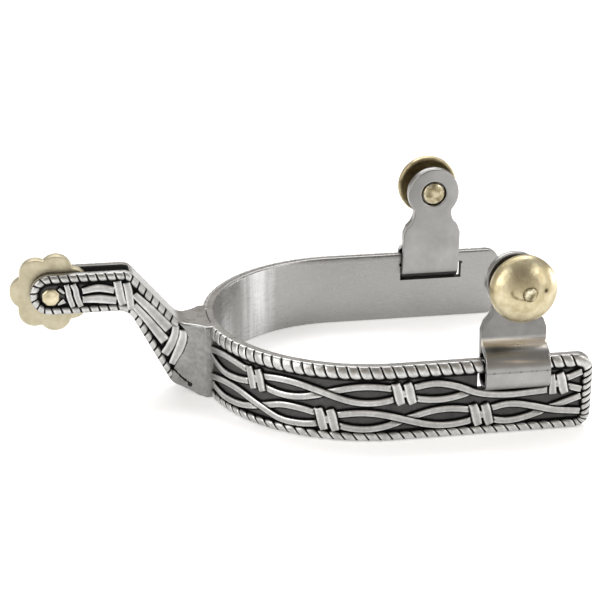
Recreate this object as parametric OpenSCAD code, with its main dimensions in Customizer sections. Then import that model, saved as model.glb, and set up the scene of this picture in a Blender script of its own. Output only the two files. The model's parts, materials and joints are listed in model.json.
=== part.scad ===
// Western spur: cast heel band with a welded shank, a brass rowel and two folded strap hangers
// that carry brass buttons.  Millimetres.  X points to the toe, Y to the left, Z up.
// The origin is the centre of the half-round heel seat, in the plane of the band's lower edge.

/* [Heel band] */
// Inside radius of the half-round heel seat
heel_r = 40.5; // [38:0.5:46]
// Height of the band
band_h = 20.5; // [20.5:0.5:24]
// Thickness of the band over its rope edging
band_t = 3.5; // [3.3:0.1:4]
// From the heel centre to the end of each branch
branch_l = 52; // [48:1:64]
// Radius of the corners at the end of each branch
end_r = 4; // [3:0.5:6]
// Width of the raised rope edging
rim_w = 2.8; // [2.4:0.1:3.2]
// Depth of the panel between the rope edgings
panel_depth = 1; // [0.6:0.1:1.2]

/* [Hanger slots] */
// Distance of the middle of each slot in front of the heel centre
slot_x = 30.6; // [28.6:0.5:34.6]
// Length of each slot
slot_l = 18.8; // [18.8:0.2:20]
// Height of each slot
slot_h = 4.7; // [4.7:0.1:5.4]
// Height of the rail left above each slot
rail_h = 3.5; // [3.2:0.1:3.6]

/* [Shank] */
// Thickness of the shank across its fork
shank_t = 9.8; // [9:0.2:12]
// Width of the slot that the rowel turns in
fork_gap = 4; // [3.6:0.1:4.2]
// Distance of the rowel pin behind the heel centre
pin_back = 84.5; // [82.5:0.5:90]
// Height of the rowel pin
pin_up = 30; // [29:0.2:31]
// Height of the level part of the shank
fork_h = 10.8; // [10.4:0.2:12]
// Half the width of the yoke where it meets the heel
yoke_half_w = 8.8; // [8:0.2:10]

/* [Rowel] */
// Number of petals
petals = 7; // [6:1:8]
// Diameter over the petals
rowel_d = 21.2; // [20:0.2:21.4]
// Thickness of the rowel
rowel_t = 3; // [2.4:0.1:3.2]
// Diameter of the rowel pin
pin_d = 3.6; // [3:0.1:4]

/* [Hangers] */
// Thickness of the folded strip
strip_t = 1.3; // [1.2:0.1:1.4]
// Width of the strip
hanger_w = 17.2; // [16.4:0.2:17.2]
// Width of the neck below the eye
neck_w = 11.3; // [10.5:0.1:12]
// Radius of the eye
eye_r = 7.6; // [7.2:0.1:8]
// Height of the eye's centre above the middle of the rail
eye_up = 21.4; // [20.4:0.2:23]
// Inward lean of the right hanger at rest, in degrees
lean_right = 4; // [0:1:8]
// Inward lean of the left hanger at rest, in degrees
lean_left = 3; // [0:1:8]
// How far forward the right hanger sits in its slot
slide_right = 0.6; // [-0.7:0.1:0.7]
// How far forward the left hanger sits in its slot
slide_left = -0.6; // [-0.7:0.1:0.7]

/* [Buttons] */
// Diameter of the button cap
cap_d = 17.4; // [16:0.2:18]
// Height of the cap's cylindrical rim
cap_rim = 2; // [1.6:0.1:2.4]
// Rise of the dome above its rim
cap_rise = 4.6; // [3.6:0.2:5]
// Thickness of the cap's wall
cap_wall = 1; // [0.8:0.1:1.2]
// Clear space for the strap between the hanger and the cap
strap_gap = 5.2; // [4.8:0.2:7]

/* [Hidden] */
$fn = 96;
cut = 1;                                    // how far a cutter reaches past what it cuts

outer_r = heel_r + band_t;                  // over the rope edging
rail_y = heel_r + band_t / 2;               // middle of the rail, each side
rail_z = band_h - rail_h / 2;
rail_edge_r = 0.8;                          // rounding along the rail's four edges
slot_top = band_h - rail_h;
slot_low = slot_top - slot_h;
panel_end_r = 1.6;                          // corners of the sunk panel at the branch ends
yoke_angle = asin(yoke_half_w / outer_r);   // half the arc that the yoke covers

fork_mid = pin_up + 0.5;                    // the pin sits just below the middle of the fork
fork_top = fork_mid + fork_h / 2;
fork_low = fork_mid - fork_h / 2;
fork_root_x = -65;                          // front end of the rowel's slot
bend_top_r = 4;                             // bend on top, from the fork into the neck
bend_top = [-65.4, fork_top - bend_top_r];
bend_low_r = 4.6;                           // bend below
bend_low = [-67, fork_low - bend_low_r];
valley_r = 4.2;                             // hollow where the neck meets the yoke
shank_rim = 2.4;                            // rope edging on the shank
shank_panel_depth = 0.8;

loop_half = 2.5;                            // rail's middle to the near face of each leg
fold_drop = 2.3;                            // rail's middle down to the centre of the fold
joggle_low = 0.4;                           // where the outer leg starts to lean in
joggle_high = 5.4;                          // where it lies against the inner leg
shoulder_up = 9;                            // shoulders, above the rail's middle
neck_up = 15.6;
leg_gap = 0.1;                              // between the two legs where they meet
inner_mid = -loop_half - strip_t / 2;       // middle of the inner leg
upper_mid = inner_mid + strip_t + leg_gap;  // middle of the outer leg above the joggle
outer_mid = loop_half + strip_t / 2;        // middle of the outer leg at the fold
plate_out = upper_mid + strip_t / 2;        // outer face of the two legs at the eye
plate_in = -loop_half - strip_t;            // inner face
cap_back = plate_out + strap_gap;
cap_front = cap_back + cap_rim;
cap_apex = cap_front + cap_rise;
cap_r = cap_d / 2;
dome_r = (cap_r * cap_r + cap_rise * cap_rise) / (2 * cap_rise);

stud_head_r = 3.25;                         // headed-over end in the inner leg
stud_head_hole_r = 3.75;
stud_shank_r = 2.4;                         // through the outer leg
stud_post_r = 3;                            // across the strap space
stud_shoulder = 0.55;                       // shoulder under the dome, below its inner top
stud_tip_r = 1.5;                           // through the top of the cap
stud_mark_r = 1.8;                          // small rivet mark on the cap
pin_head_r = 2.6;
pin_head_h = 0.8;
rowel_clearance = 0.05;

// points of an arc about c from angle a to angle b
function arc(c, r, a, b, n = 12) = [for (i = [0 : n]) let (t = a + (b - a) * i / n) c + r * [cos(t), sin(t)]];

// unit normal of the path p at point i
function path_normal(p, i) =
    let (d = p[min(i + 1, len(p) - 1)] - p[max(i - 1, 0)]) [-d[1], d[0]] / norm(d);

// outline of a strip of thickness t along the path p
function strip_outline(p, t) = concat(
    [for (i = [0 : len(p) - 1]) p[i] + path_normal(p, i) * t / 2],
    [for (i = [len(p) - 1 : -1 : 0]) p[i] - path_normal(p, i) * t / 2]);

// a smooth step from 0 to 1
function ease(t) = (1 - cos(180 * t)) / 2;

// plan of a U with inside radius r, open towards X
module u_plan(r, length) {
    circle(r);
    translate([0, -r]) square([length, 2 * r]);
}

// side outline of a branch, with both corners at its end rounded to r
module branch_side(x0, x1, z0, z1, r) {
    polygon(concat([[x0, z0]], arc([x1 - r, z0 + r], r, -90, 0), arc([x1 - r, z1 - r], r, 0, 90), [[x0, z1]]));
}

// wall of the U between inside radius r0 and outside radius r1, from z0 to z1
module u_wall(r0, r1, z0, z1, length, corner) {
    intersection() {
        translate([0, 0, z0]) linear_extrude(z1 - z0) difference() {
            u_plan(r1, length);
            u_plan(r0, length + cut);
        }
        union() {
            translate([-r1 - cut, -r1 - cut, z0]) cube([r1 + cut, 2 * (r1 + cut), z1 - z0]);
            rotate([90, 0, 0]) linear_extrude(2 * (r1 + cut), center = true)
                branch_side(-cut, length, z0, z1, corner);
        }
    }
}

// the sunk panel on the outer face, which stops short of the yoke
module panel_cut() {
    difference() {
        u_wall(outer_r - panel_depth, outer_r + cut, rim_w, band_h - rim_w, branch_l - rim_w, panel_end_r);
        linear_extrude(band_h) polygon([[0, 0],
            2 * outer_r * [-cos(yoke_angle), sin(yoke_angle)], 2 * outer_r * [-cos(yoke_angle), -sin(yoke_angle)]]);
    }
}

// section of the slot: square below, and shaped above to leave the rail's lower edges round
module slot_section() {
    difference() {
        translate([rail_y - band_t / 2 - cut, slot_low])
            square([band_t + 2 * cut, slot_h + rail_h + cut]);
        for (s = [-1, 1]) for (v = [-1, 1])
            translate([rail_y + s * (band_t / 2 - rail_edge_r), rail_z + v * (rail_h / 2 - rail_edge_r)])
                circle(rail_edge_r, $fn = 32);
        translate([rail_y - band_t / 2 + rail_edge_r, rail_z - rail_h / 2])
            square([band_t - 2 * rail_edge_r, rail_h]);
        translate([rail_y - band_t / 2, rail_z - rail_h / 2 + rail_edge_r])
            square([band_t, rail_h - 2 * rail_edge_r]);
    }
}

module heel_band() {
    color("lightslategray") difference() {
        u_wall(heel_r, outer_r, 0, band_h, branch_l, end_r);
        panel_cut();
        for (s = [0, 1]) mirror([0, s, 0])
            translate([slot_x - slot_l / 2, 0, 0]) rotate([90, 0, 90]) linear_extrude(slot_l) slot_section();
    }
}

// side outline of the shank: level fork, falling neck and yoke
module shank_side() {
    polygon(concat(
        arc([-pin_back, fork_mid], fork_h / 2, 270, 90, 24),
        arc(bend_top, bend_top_r, 90, 45, 8),
        arc([-48.4, band_h + valley_r], valley_r, 225, 270, 8),
        [[-heel_r, band_h], [-heel_r, 0], [-46, 0], [-47.6, 0.4]],
        arc([-49.2, 7.4], 5.2, 266, 212, 8),
        arc(bend_low, bend_low_r, 30, 90, 8)));
}

// the part of the side outline that is sunk between its rope edgings
module shank_panel() {
    polygon(concat(
        arc([-pin_back, fork_mid], fork_h / 2 - shank_rim, 270, 90, 24),
        arc(bend_top, bend_top_r - shank_rim, 90, 45, 8),
        [[-51.6, band_h - 0.6], [-52.6, 8]],
        arc(bend_low, bend_low_r + shank_rim, 30, 90, 8)));
}

// plan of the shank: straight sides that sweep out into the yoke
module shank_plan() {
    sweep_r = 7;
    half = shank_t / 2;
    start_x = -51;
    turn = acos(1 - (yoke_half_w - half) / sweep_r);
    side = concat([[-100, half]], arc([start_x, half + sweep_r], sweep_r, -90, turn - 90, 10),
        [[-heel_r, yoke_half_w]]);
    polygon(concat(side, [for (i = [len(side) - 1 : -1 : 0]) [side[i][0], -side[i][1]]]));
}

module shank() {
    color("slategray") difference() {
        intersection() {
            rotate([90, 0, 0]) linear_extrude(4 * yoke_half_w, center = true) shank_side();
            translate([0, 0, -cut]) linear_extrude(fork_top + 2 * cut) shank_plan();
        }
        translate([0, 0, -cut]) cylinder(h = band_h + 2 * cut, r = outer_r);
        for (s = [-1, 1]) translate([0, s * (shank_t / 2 - shank_panel_depth / 2 + cut / 2), 0]) rotate([90, 0, 0])
            linear_extrude(shank_panel_depth + cut, center = true) shank_panel();
        translate([fork_root_x - 40, -fork_gap / 2, fork_low - cut]) cube([40, fork_gap, fork_h + 2 * cut]);
        translate([-pin_back, 0, pin_up]) rotate([90, 0, 0])
            cylinder(h = shank_t + 2 * cut, r = pin_d / 2, center = true, $fn = 48);
    }
}

module rowel() {
    petal_r = rowel_d / 2 * 0.4;
    petal_out = rowel_d / 2 - petal_r;
    first = 21.9;                           // angle of the first petal
    color("khaki") translate([-pin_back, 0, pin_up]) rotate([90, 0, 0]) difference() {
        linear_extrude(rowel_t, center = true) {
            circle(petal_out);
            for (i = [0 : petals - 1]) rotate(first + i * 360 / petals) translate([petal_out, 0]) circle(petal_r);
        }
        cylinder(h = rowel_t + 2 * cut, r = pin_d / 2 + rowel_clearance, center = true, $fn = 48);
    }
}

module rowel_pin() {
    half = shank_t / 2 - shank_panel_depth;
    dome_r = (pin_head_r * pin_head_r + pin_head_h * pin_head_h) / (2 * pin_head_h);
    rise = asin(pin_head_r / dome_r);
    head = arc([0, half + pin_head_h - dome_r], dome_r, 90, 90 - rise, 8);
    color("goldenrod") translate([-pin_back, 0, pin_up]) rotate([90, 0, 0]) {
        cylinder(h = 2 * half, r = pin_d / 2, center = true, $fn = 48);
        for (s = [0, 1]) mirror([0, 0, s])
            rotate_extrude($fn = 48) polygon(concat(head, [[pin_head_r, half], [0, half]]));
    }
}

// everything drawn in hanger axes: X along the rail, Y outwards, Z up from the rail's middle
module on_rail(side, slide, lean) {
    translate([slot_x + slide, side * rail_y, rail_z]) mirror([0, side < 0 ? 1 : 0, 0]) rotate([lean, 0, 0]) children();
}

// section of the folded strip: inner leg, fold under the rail, outer leg and its joggle
module hanger_section() {
    top = eye_up + eye_r + cut;
    steps = 12;
    joggle = [for (i = [0 : steps]) let (t = i / steps)
        [outer_mid + (upper_mid - outer_mid) * ease(t), joggle_low + (joggle_high - joggle_low) * t]];
    polygon(strip_outline(concat([[inner_mid, top]], arc([0, -fold_drop], outer_mid, 180, 360, 24), joggle,
        [[upper_mid, top]]), strip_t));
}

// outline of the hanger seen from the side of the spur
module hanger_outline() {
    half = hanger_w / 2;
    neck = neck_w / 2;
    low = -fold_drop - outer_mid - strip_t;
    side = concat([[half, low], [half, shoulder_up]],
        arc([neck + 5.4, neck_up], 5.4, 232, 156, 10));
    translate([0, eye_up]) circle(eye_r);
    polygon(concat(side, [for (i = [len(side) - 1 : -1 : 0]) [-side[i][0], side[i][1]]]));
}

module hanger() {
    difference() {
        intersection() {
            translate([-hanger_w, 0, 0]) rotate([90, 0, 90]) linear_extrude(2 * hanger_w) hanger_section();
            rotate([90, 0, 0]) linear_extrude(4 * outer_mid, center = true) hanger_outline();
        }
        translate([0, 0, eye_up]) rotate([-90, 0, 0]) {
            translate([0, 0, plate_in - cut])
                cylinder(h = strip_t + cut, r = stud_head_hole_r, $fn = 48);
            translate([0, 0, -loop_half])
                cylinder(h = strip_t + leg_gap + cut, r = stud_shank_r, $fn = 48);
        }
    }
}

module button_cap() {
    inner_dome_r = dome_r - cap_wall;
    centre = cap_apex - dome_r;
    edge = asin(cap_r / dome_r);
    inner_edge = asin((cap_r - cap_wall) / inner_dome_r);
    tip = asin(stud_tip_r / dome_r);
    translate([0, 0, eye_up]) rotate([-90, 0, 0]) rotate_extrude() polygon(concat(
        arc([0, centre], dome_r, 90 - tip, 90 - edge, 16),
        [[cap_r, cap_back], [cap_r - cap_wall, cap_back]],
        arc([0, centre], inner_dome_r, 90 - inner_edge, 90 - asin(stud_tip_r / inner_dome_r), 16)));
}

module button_stud() {
    under_dome = cap_apex - cap_wall;
    proud = 0.4;
    translate([0, 0, eye_up]) rotate([-90, 0, 0]) rotate_extrude($fn = 48) polygon([
        [0, plate_in - proud], [stud_head_r - 1, plate_in - proud], [stud_head_r, plate_in],
        [stud_head_r, plate_out - strip_t], [stud_shank_r, plate_out - strip_t], [stud_shank_r, plate_out],
        [stud_post_r, plate_out], [stud_post_r, under_dome - stud_shoulder], [stud_tip_r, under_dome - stud_shoulder],
        [stud_tip_r, cap_apex], [stud_mark_r, cap_apex], [stud_mark_r - 0.4, cap_apex + 0.3], [0, cap_apex + 0.3]]);
}

heel_band();
shank();
rowel();
rowel_pin();
color("silver") on_rail(-1, slide_right, lean_right) hanger();  // hanger_right
color("silver") on_rail(1, slide_left, lean_left) hanger();  // hanger_left
color("gold") on_rail(-1, slide_right, lean_right) button_cap();  // button_cap_right
color("gold") on_rail(1, slide_left, lean_left) button_cap();  // button_cap_left
color("goldenrod") on_rail(-1, slide_right, lean_right) button_stud();  // button_stud_right
color("goldenrod") on_rail(1, slide_left, lean_left) button_stud();  // button_stud_left
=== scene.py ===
"""Looks of a western spur: cast relief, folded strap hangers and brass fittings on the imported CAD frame."""
import json
import math

import bmesh
import bpy
import numpy as np
from mathutils import Matrix, Vector


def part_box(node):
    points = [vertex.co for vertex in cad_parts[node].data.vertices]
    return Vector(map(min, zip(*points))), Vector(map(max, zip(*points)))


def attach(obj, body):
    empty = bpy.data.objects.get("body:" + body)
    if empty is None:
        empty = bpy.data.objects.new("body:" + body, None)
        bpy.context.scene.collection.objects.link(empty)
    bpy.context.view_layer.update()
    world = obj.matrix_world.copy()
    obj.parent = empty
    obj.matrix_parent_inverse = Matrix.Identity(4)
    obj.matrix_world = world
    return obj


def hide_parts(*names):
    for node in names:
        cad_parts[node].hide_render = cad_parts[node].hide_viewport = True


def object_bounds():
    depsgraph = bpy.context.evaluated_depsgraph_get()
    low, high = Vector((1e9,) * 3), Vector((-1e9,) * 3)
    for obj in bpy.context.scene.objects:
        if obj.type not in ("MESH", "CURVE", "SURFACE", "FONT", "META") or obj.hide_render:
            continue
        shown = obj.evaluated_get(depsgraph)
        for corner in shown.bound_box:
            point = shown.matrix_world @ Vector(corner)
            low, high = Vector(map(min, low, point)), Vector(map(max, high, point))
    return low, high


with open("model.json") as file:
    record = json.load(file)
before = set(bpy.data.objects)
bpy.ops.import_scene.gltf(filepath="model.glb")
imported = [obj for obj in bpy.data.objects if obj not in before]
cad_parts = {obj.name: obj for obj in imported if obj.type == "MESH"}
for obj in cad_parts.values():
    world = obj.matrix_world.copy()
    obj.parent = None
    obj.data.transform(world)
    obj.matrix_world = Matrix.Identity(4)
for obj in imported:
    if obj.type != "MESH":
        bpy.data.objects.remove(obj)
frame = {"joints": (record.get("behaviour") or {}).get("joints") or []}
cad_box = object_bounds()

MM = 0.001                        # every size below is in millimetres until a mesh is made
EDGE_SHADE = "patina_and_painted_light"             # point attribute that tells the materials how dark or polished a point is, from patina and from painted shade, highlights and reflections


# ---- sizes that come from the frame
def box_mm(node):
    low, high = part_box(node)
    return np.array(low) / MM, np.array(high) / MM


# how far the straight branches reach forward, radius outside the rope edging, and height
BRANCH_L, OUTER_R, BAND_H = box_mm("heel_band")[1]
BAND_T = 3.5                      # thickness of the band over its rope edging
PANEL_DEPTH = 1.0                 # how deep the floor behind the wires is sunk
QUARTER = OUTER_R * math.pi / 2   # along the outside, from the back of the heel to the straight branch
WALL_L = QUARTER + BRANCH_L
END_R = 4.0                       # corners of the branch ends
SLOT_X = (21.2, 40.0)
SLOT_Z = (12.3, 17.0)

JOINTS = {j["name"]: np.array(j["pos_m"]) / MM for j in frame["joints"]}
PIN = JOINTS["rowel_spin"]


# ---- curves and profiles
def arc(centre, radius, start, end, steps=12):
    """Points of an arc from one angle to another, in degrees."""
    a = np.radians(np.linspace(start, end, steps + 1))
    return np.stack([centre[0] + radius * np.cos(a), centre[1] + radius * np.sin(a)], 1)


def spline(points, steps=10):
    """A smooth Catmull-Rom curve through the points."""
    p = np.array(points, float)
    p = np.vstack([2 * p[0] - p[1], p, 2 * p[-1] - p[-2]])
    t = np.linspace(0, 1, steps, endpoint=False)[:, None]
    out = []
    for i in range(1, len(p) - 2):
        a, b, c, d = p[i - 1:i + 3]
        out.append(0.5 * (2 * b + (c - a) * t + (2 * a - 5 * b + 4 * c - d) * t ** 2
                          + (3 * b - a - 3 * c + d) * t ** 3))
    return np.vstack(out + [p[-2:-1]])


class Track:
    """A plane curve that gives its point and the direction to its left at any distance along it."""

    def __init__(self, points):
        p = np.array(points, float)
        keep = np.r_[True, np.linalg.norm(np.diff(p, axis=0), axis=1) > 1e-6]
        self.p = p[keep]
        step = np.linalg.norm(np.diff(self.p, axis=0), axis=1)
        self.t = np.r_[0, np.cumsum(step)]
        self.length = self.t[-1]
        d = np.gradient(self.p, self.t, axis=0)
        self.d = d / np.linalg.norm(d, axis=1)[:, None]

    def at(self, t):
        t = np.asarray(t, float)
        clipped = np.clip(t, 0, self.length)
        p, d = (np.stack([np.interp(clipped, self.t, v[:, k]) for k in (0, 1)], -1) for v in (self.p, self.d))
        d /= np.linalg.norm(d, axis=-1)[..., None]
        return p + d * (t - clipped)[..., None], np.stack([-d[..., 1], d[..., 0]], -1)


def smooth_step(x, a, b):
    t = np.clip((x - a) / (b - a), 0, 1)
    return t * t * (3 - 2 * t)


def bell(x, centre, width):
    return np.exp(-((x - centre) / width) ** 2)


# ---- surfaces that the relief is laid out on
def wall_point(s, z, depth):
    """Outer face of the band. s runs along it from the back of the heel, positive on the right (-Y) side."""
    s, z, depth = np.broadcast_arrays(np.asarray(s, float), z, depth)
    a = np.abs(s)
    turn = np.minimum(a, QUARTER) / OUTER_R
    r = OUTER_R - depth
    x = -r * np.cos(turn) + np.maximum(a - QUARTER, 0)
    return np.stack([x, -np.sign(s) * r * np.sin(turn), z], -1)


SHANK_HALF, YOKE_HALF = 4.9, 8.6
SWEEP_START, SWEEP_R = -51.6, 9.2


def shank_half(x):
    """Half thickness of the shank, which sweeps out into the yoke."""
    run = np.clip(np.asarray(x, float) - SWEEP_START, 0, None)
    return np.minimum(SHANK_HALF + SWEEP_R - np.sqrt(np.maximum(SWEEP_R ** 2 - run ** 2, 0)), YOKE_HALF)


def shank_point(x, z, depth):
    """Right face of the shank."""
    x, z, depth = np.broadcast_arrays(np.asarray(x, float), z, depth)
    return np.stack([x, -(shank_half(x) - depth), z], -1)


# ---- mesh making
def tube(rings):
    """Closed shell round a row of closed rings, (rings, points, 3)."""
    count, size = rings.shape[:2]
    index = np.arange(count * size).reshape(count, size)
    a, b = index[:-1], index[1:]
    quads = np.stack([a, b, np.roll(b, -1, 1), np.roll(a, -1, 1)], -1).reshape(-1, 4)
    return rings.reshape(-1, 3), quads.tolist() + [index[0][::-1].tolist(), index[-1].tolist()]


class Shell:
    """Collects closed shells, then makes one object of them."""

    def __init__(self):
        self.verts, self.faces, self.patina_and_painted_light, self.finish, self.count = [], [], [], [], 0

    def add(self, verts, faces, patina_and_painted_light=0.0, finish=0):
        verts = np.asarray(verts, float).reshape(-1, 3)
        self.verts.append(verts)
        self.faces += [[i + self.count for i in f] for f in faces]
        self.patina_and_painted_light.append(np.broadcast_to(np.asarray(patina_and_painted_light, float).reshape(-1), (len(verts),)))
        self.finish += list(finish) if np.ndim(finish) else [finish] * len(faces)
        self.count += len(verts)

    def mirror(self):
        """Adds the same shells on the other side of Y = 0."""
        verts = np.vstack(self.verts) * (1, -1, 1)
        self.add(verts, [f[::-1] for f in self.faces], np.concatenate(self.patina_and_painted_light), list(self.finish))

    def build(self, name, body, materials, nodes=(), recalc=True, sharp=None):
        """Makes the object. Edges sharper than sharp, in degrees, are kept crisp."""
        verts = np.vstack(self.verts) * MM
        mesh = bpy.data.meshes.new(name)
        mesh.from_pydata(verts.tolist(), [], self.faces)
        layer = mesh.attributes.new(EDGE_SHADE, "FLOAT", "POINT")
        layer.data.foreach_set("value", np.concatenate(self.patina_and_painted_light).astype(np.float32))
        mesh.polygons.foreach_set("material_index", np.array(self.finish, np.int32))
        mesh.polygons.foreach_set("use_smooth", np.ones(len(mesh.polygons), bool))
        if recalc:
            bm = bmesh.new()
            bm.from_mesh(mesh)
            bmesh.ops.recalc_face_normals(bm, faces=bm.faces)
            bm.to_mesh(mesh)
            bm.free()
        mesh.update()
        obj = bpy.data.objects.new(name, mesh)
        bpy.context.scene.collection.objects.link(obj)
        for m in materials:
            mesh.materials.append(m)
        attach(obj, body)
        if nodes:
            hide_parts(*nodes)
        if sharp:
            mesh.set_sharp_from_angle(angle=math.radians(sharp))


def build_relief(name, fill):
    """Builds the cast relief that fill lays out on the right side, with its mirror image."""
    shell = Shell()
    lines = fill(shell)
    shell.mirror()
    shell.build(name, "heel_frame", [RELIEF])
    return lines


def lathe(profile, steps=96, wobble=None):
    """Closed shell turned from (radius, height) points that start and end on the axis."""
    profile = np.array(profile, float)
    turn = np.linspace(0, 2 * math.pi, steps, endpoint=False)
    radius, height = profile[1:-1].T[..., None]
    r = radius * (np.ones(steps) if wobble is None else wobble(turn))
    rings = np.stack([r * np.cos(turn), r * np.sin(turn), np.broadcast_to(height, r.shape)], -1)
    verts = np.vstack([rings.reshape(-1, 3), [[0, 0, profile[0, 1]], [0, 0, profile[-1, 1]]]])
    n = r.size
    index = np.arange(n).reshape(r.shape)
    a, b = index[:-1], index[1:]
    faces = np.stack([a, np.roll(a, -1, 1), np.roll(b, -1, 1), b], -1).reshape(-1, 4).tolist()
    for k in range(steps):
        j = (k + 1) % steps
        faces.append([n, index[0][j], index[0][k]])
        faces.append([n + 1, index[-1][k], index[-1][j]])
    return verts, faces


# ---- distance fields
def segment_gap(x, z, start, end):
    """Squared distance to the straight line from start to end."""
    (ax, az), (bx, bz) = start, end
    ex, ez = bx - ax, bz - az
    t = np.clip(((x - ax) * ex + (z - az) * ez) / max(ex * ex + ez * ez, 1e-12), 0, 1)
    return (x - ax - ex * t) ** 2 + (z - az - ez * t) ** 2


def line_distance(x, z, points):
    """Distance to an open line."""
    gap = np.inf
    for start, end in zip(points[:-1], points[1:]):
        gap = np.minimum(gap, segment_gap(x, z, start, end))
    return np.sqrt(gap)


def polygon_distance(x, z, outline):
    """Signed distance to a closed outline, negative inside."""
    closed = np.vstack([outline, outline[:1]])
    inside = np.zeros(np.broadcast(x, z).shape, bool)
    for (ax, az), (bx, bz) in zip(closed[:-1], closed[1:]):
        if az != bz:
            inside ^= ((az > z) != (bz > z)) & (x < (bx - ax) * (z - az) / (bz - az) + ax)
    return np.where(inside, -1, 1) * line_distance(x, z, closed)


def round_max(a, b, k):
    """Intersection of two fields with its edge rounded over about k."""
    h = np.clip(0.5 - 0.5 * (b - a) / k, 0, 1)
    return b + (a - b) * h + k * h * (1 - h)


def surface_nets(field, low, high, step):
    """Closed quad mesh of the surface where field is 0, its points moved onto the surface."""
    low, high = np.array(low, float), np.array(high, float)
    axes = [np.arange(low[k], high[k] + step, step) for k in range(3)]
    grid = field(axes[0][:, None, None], axes[1][None, :, None], axes[2][None, None, :])
    grid = np.broadcast_to(grid, tuple(len(a) for a in axes))
    inside = grid < 0
    corners, ways = np.indices((2, 2, 2)).reshape(3, -1).T, np.eye(3, dtype=int)
    shape = tuple(n - 1 for n in grid.shape)

    def corner(c, values=grid):
        return values[c[0]:c[0] + shape[0], c[1]:c[1] + shape[1], c[2]:c[2] + shape[2]]

    total = sum(corner(c, inside).astype(np.int8) for c in corners)
    active = (total > 0) & (total < 8)
    cells = np.argwhere(active)
    index = np.full(shape, -1, np.int64)
    index[active] = np.arange(len(cells))
    place, weight = np.zeros((len(cells), 3)), np.zeros(len(cells))
    for c in corners:
        for way in ways[c == 0]:
            f0, f1 = corner(c)[active], corner(c + way)[active]
            hit = (f0 < 0) != (f1 < 0)
            t = np.where(hit, f0 / np.where(hit, f0 - f1, 1), 0)
            place += (c + t[:, None] * way) * hit[:, None]
            weight += hit
    verts = low + (cells + place / weight[:, None]) * step
    quads = []
    for axis in range(3):
        u, v = (axis + 1) % 3, (axis + 2) % 3
        flips = np.argwhere(np.diff(inside, axis=axis))
        fu, fv = flips[:, u], flips[:, v]
        flips = flips[(fu > 0) & (fv > 0) & (fu < shape[u]) & (fv < shape[v])]
        around = [index[tuple((flips - du * ways[u] - dv * ways[v]).T)]
                  for du, dv in ((0, 0), (1, 0), (1, 1), (0, 1))]
        quad = np.stack(around, 1)
        quads.append(np.where(inside[tuple(flips.T)][:, None], quad, quad[:, ::-1]))
    h = step * 0.02
    for _ in range(3):
        f = field(*verts.T)
        slope = np.stack([(field(*(verts + way).T) - field(*(verts - way).T)) / (2 * h)
                          for way in h * ways], 1)
        move = f[:, None] * slope / np.maximum((slope ** 2).sum(1), 0.25)[:, None]
        verts = verts - np.clip(move, -step * 0.6, step * 0.6)
    return verts, np.vstack(quads).tolist()


# ---- rope edging and raised wire
# places along one strand of the rope, how far it stands up at each, and how dark it is there
ROPE_F = np.array([0, .035, .075, .13, .25, .5, .75, .87, .925, .965])
ROPE_H = np.array([0, .40, .78, .94, .99, 1, .99, .94, .78, .40])
ROPE_DARK = np.array([1, 1, .45, 0, .07, .1, .07, 0, .45, 1])
ROPE_PITCH = 3.0                  # the pitch at which those places hold


def strand_steps(pitch):
    """ROPE_F with its groove kept about as wide whatever the pitch is."""
    wide = min(1.7, ROPE_PITCH / pitch)
    end = np.where(ROPE_F > 0.8, 1 - (1 - ROPE_F) * wide, ROPE_F)
    return np.where(ROPE_F < 0.2, ROPE_F * wide, end)


def rope(shell, surface, path, profile, groove, patina_and_painted_light, hidden, pitches, skew, end_from, widen=None):
    """A twisted edging along path. profile holds (distance in from the edge, depth) rows round to the panel,
    groove how deep each is cut, and the list after it how dark each is, with patina and painted shade. hidden
    closes the back. pitches are (length, pitch) sections, skew(t) how far the twist carries a strand along,
    end_from where the strands' rounded ends begin and widen(t) a scale for the width."""
    profile, groove, patina_and_painted_light, hidden = (np.array(v, float) for v in (profile, groove, patina_and_painted_light, hidden))
    starts, t = [], 0.0
    for length, pitch in pitches:
        n = max(1, round(length / pitch))
        starts += [(t + length * i / n, length / n) for i in range(n)]
        t += length
    base = np.array([s + f * p for s, p in starts for f in strand_steps(p)] + [t])[:, None]
    stand, dark, rounding = (np.append(np.tile(v, len(starts)), last)[:, None] for v, last in (
        (ROPE_H, 0.0), (ROPE_DARK, 1.0), (1 - np.sqrt(1 - (2 * ROPE_F - 1) ** 2), 1.0)))
    walk = np.r_[0, np.cumsum(np.linalg.norm(np.diff(profile, axis=0), axis=1))]
    lean = walk / walk[-1] - 0.5
    reach = profile[:, 0].max()
    inward = (reach * 0.5, profile[:, 1].max() * 1.1) - profile
    inward /= np.linalg.norm(inward, axis=1)[:, None]
    cut = groove * (1 - stand)
    e = profile[:, 0] + inward[:, 0] * cut
    d = profile[:, 1] + inward[:, 1] * cut
    e = e - 0.24 * reach * rounding * np.clip((profile[:, 0] - end_from) / (reach - end_from), 0, 1)
    tt = base + skew(base) * lean
    shade = np.maximum(patina_and_painted_light, dark * np.clip(groove / groove.max() * 1.6, 0, 1))
    back = np.broadcast_to(hidden, (len(base), *hidden.shape))
    e, d = np.hstack([e, back[..., 0]]), np.hstack([d, back[..., 1]])
    tt = np.hstack([tt, base + skew(base) * np.linspace(0.5, -0.5, len(hidden))])
    shade = np.hstack([shade, np.ones(back.shape[:2])])
    if widen is not None:
        e = e * widen(base)
    point, left = path.at(tt)
    flat = point - left * e[..., None]
    shell.add(*tube(surface(flat[..., 0], flat[..., 1], d)), shade)


# places across a wire, how far it rises at each, and how dark it is there
WIRE_U = np.array([-1.0, -.98, -.91, -.74, -.4, 0, .4, .74, .91, .98, 1.0, .6, -.6])
WIRE_RISE = np.array([-.08, .52, .82, .95, .99, 1, .99, .95, .82, .52, -.08, -.2, -.2])
WIRE_DARK = np.array([1, .85, .1, 0, .12, .17, .12, 0, .1, .85, 1, 1, 1])


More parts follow.
